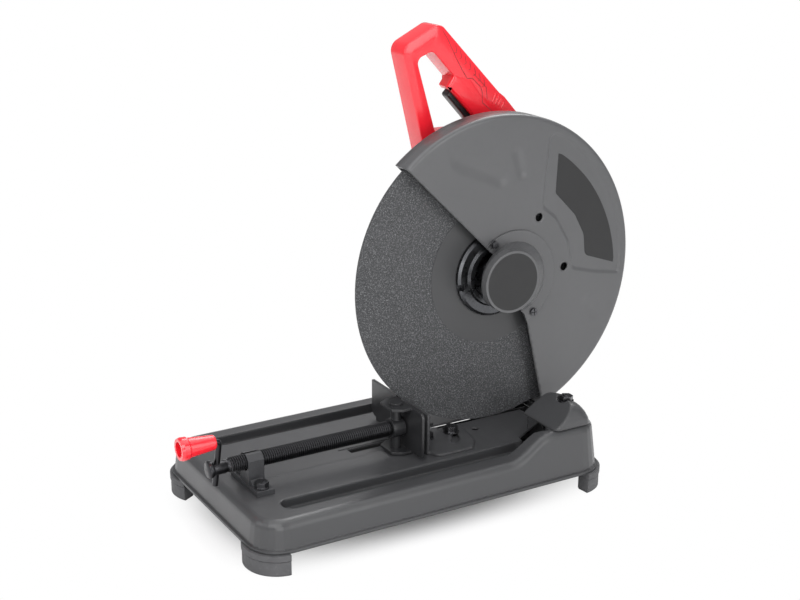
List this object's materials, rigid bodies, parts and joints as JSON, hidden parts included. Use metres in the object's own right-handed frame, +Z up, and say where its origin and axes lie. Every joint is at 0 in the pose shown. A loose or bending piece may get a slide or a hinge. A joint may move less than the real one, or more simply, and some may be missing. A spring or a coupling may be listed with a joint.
{
  "type": "abrasive cut-off saw",
  "caption": "Bench cut-off saw with an abrasive wheel under a round sheet guard, a D handle, a sprung hinged head and a pressed base with a screw vise and fence.",
  "frame": {"origin": "on the floor, at the centre of the four bench bolt holes", "axes": "+X to the open side of the wheel, +Y towards the head's hinge, +Z up"},
  "size_m": [0.324, 0.5879, 0.5113],
  "materials": {
    "pan_grey": "satin dark grey",
    "guard_grey": "satin dark grey",
    "black_paint": "satin black",
    "cast_dark": "painted dark grey, cast",
    "foot_rubber": "matt grey rubber",
    "zinc": "zinc plated",
    "dark_zinc": "black chromated",
    "bright_steel": "ground",
    "dark_chrome": "dark bright plating",
    "cast_grey": "satin grey over die casting",
    "aluminium": "as cast",
    "abrasive": "resin-bonded grit, speckled",
    "red_plastic": "glossy red moulding",
    "black_plastic": "fine textured black",
    "winding": "lacquered copper and iron",
    "copper": "copper",
    "brass": "brass",
    "carbon": "carbon",
    "core_iron": "laminated iron"
  },
  "bodies": {
    "base": {"base_pan": "pan_grey", "rear_cover": "pan_grey", "rubber_feet": "foot_rubber", "foot_screws": "zinc", "cover_bolt": "dark_zinc", "spindle_block": "cast_dark", "block_bolts": "dark_zinc", "fence_left": "black_paint", "fence_left_bolts": "dark_zinc", "fence_pivot_bolt": "dark_zinc", "fence_clamp_bolt": "dark_zinc", "pivot_bracket": "cast_dark", "bracket_bolts": "dark_zinc", "pivot_pin": "bright_steel", "pin_rings": "dark_zinc", "return_spring": "zinc", "depth_stop": "dark_zinc"},
    "swing_fence": {"fence_plate": "pan_grey"},
    "vise_carriage": {"jaw_pin": "black_paint"},
    "jaw": {"vise_jaw": "black_paint"},
    "screw": {"vise_screw": "black_paint", "crank_rod": "dark_zinc"},
    "grip": {"crank_grip": "red_plastic"},
    "head": {"gear_housing": "cast_grey", "bearing_plate": "cast_grey", "motor_housing": "black_plastic", "end_cover": "black_plastic", "field_core": "winding", "brush_holders": "brass", "carbon_brushes": "carbon", "brush_caps": "black_plastic", "spindle_bearings": "bright_steel", "motor_bearings": "bright_steel", "guard_back": "guard_grey", "guard_cover": "guard_grey", "guard_screws": "zinc", "cover_screw": "zinc", "wing_bolt": "zinc", "handle_left": "red_plastic", "handle_right": "red_plastic", "handle_screws": "zinc", "switch_body": "black_plastic", "cord_gland": "black_plastic"},
    "cover": {"hub_cover": "guard_grey"},
    "wheel_spindle": {"spindle": "bright_steel", "drive_gear": "bright_steel", "inner_flange": "zinc", "abrasive_wheel": "abrasive", "outer_flange": "dark_chrome", "arbor_washer": "dark_zinc", "arbor_bolt": "dark_zinc"},
    "armature": {"motor_shaft": "bright_steel", "armature_core": "core_iron", "commutator": "copper", "cooling_fan": "black_plastic"},
    "finger_trigger": {"trigger": "black_plastic"},
    "lock_off": {"lock_off_button": "black_plastic"},
    "lock_plunger": {"spindle_lock": "black_plastic"}
  },
  "joints": [
    {"name": "head_hinge", "type": "hinge", "parent": "base", "child": "head", "pos_m": [-0.056, 0.186, 0.1], "axis": [1, 0, 0], "range_deg": [0, 30], "stiffness_Nm_per_rad": 14, "springref_deg": -35.52},
    {"name": "spindle_spin", "type": "hinge", "parent": "head", "child": "wheel_spindle", "pos_m": [-0.0033, 0.1406, 0.23222], "axis": [1, 0, 0], "continuous": true},
    {"name": "armature_spin", "type": "hinge", "parent": "head", "child": "armature", "pos_m": [-0.11, 0.19134, 0.25069], "axis": [1, 0, 0], "continuous": true},
    {"name": "trigger_pull", "type": "hinge", "parent": "head", "child": "finger_trigger", "pos_m": [-0.056, 0.12329, 0.4419], "axis": [1, 0, 0], "range_deg": [0, 5], "stiffness_Nm_per_rad": 1.5, "springref_deg": -11.46},
    {"name": "lock_off_push", "type": "slide", "parent": "head", "child": "lock_off", "axis": [1, 0, 0], "range_m": [0, 0.003], "stiffness_N_per_m": 300, "springref_m": -0.003},
    {"name": "spindle_lock_push", "type": "slide", "parent": "head", "child": "lock_plunger", "axis": [0, 0.9397, -0.342], "range_m": [0, 0.004], "stiffness_N_per_m": 400, "springref_m": -0.003},
    {"name": "vise_slide", "type": "slide", "parent": "base", "child": "vise_carriage", "axis": [0, 1, 0], "range_m": [-0.14, 0]},
    {"name": "screw_turn", "type": "hinge", "parent": "vise_carriage", "child": "screw", "pos_m": [0.028, -0.1, 0.0835], "axis": [0, 1, 0], "range_deg": [-20160, 0]},
    {"name": "grip_spin", "type": "hinge", "parent": "screw", "child": "grip", "pos_m": [0.03706, -0.24, 0.11731], "axis": [0, 1, 0], "continuous": true},
    {"name": "jaw_swivel", "type": "hinge", "parent": "vise_carriage", "child": "jaw", "pos_m": [0.028, -0.004, 0.085], "axis": [0, 0, 1], "range_deg": [-6, 6]},
    {"name": "fence_swing", "type": "hinge", "parent": "base", "child": "swing_fence", "pos_m": [0.024, 0.0385, 0.058], "axis": [0, 0, 1], "range_deg": [-8, 8]},
    {"name": "cover_swing", "type": "hinge", "parent": "head", "child": "cover", "pos_m": [0.0137, 0.1875, 0.18262], "axis": [1, 0, 0], "range_deg": [-95, 0]}
  ],
  "couplings": [
    {"joint": "armature_spin", "follows": "spindle_spin", "ratio": -3.1538},
    {"joint": "vise_slide", "follows": "screw_turn", "m_per_rad": 0.00039789}
  ]
}
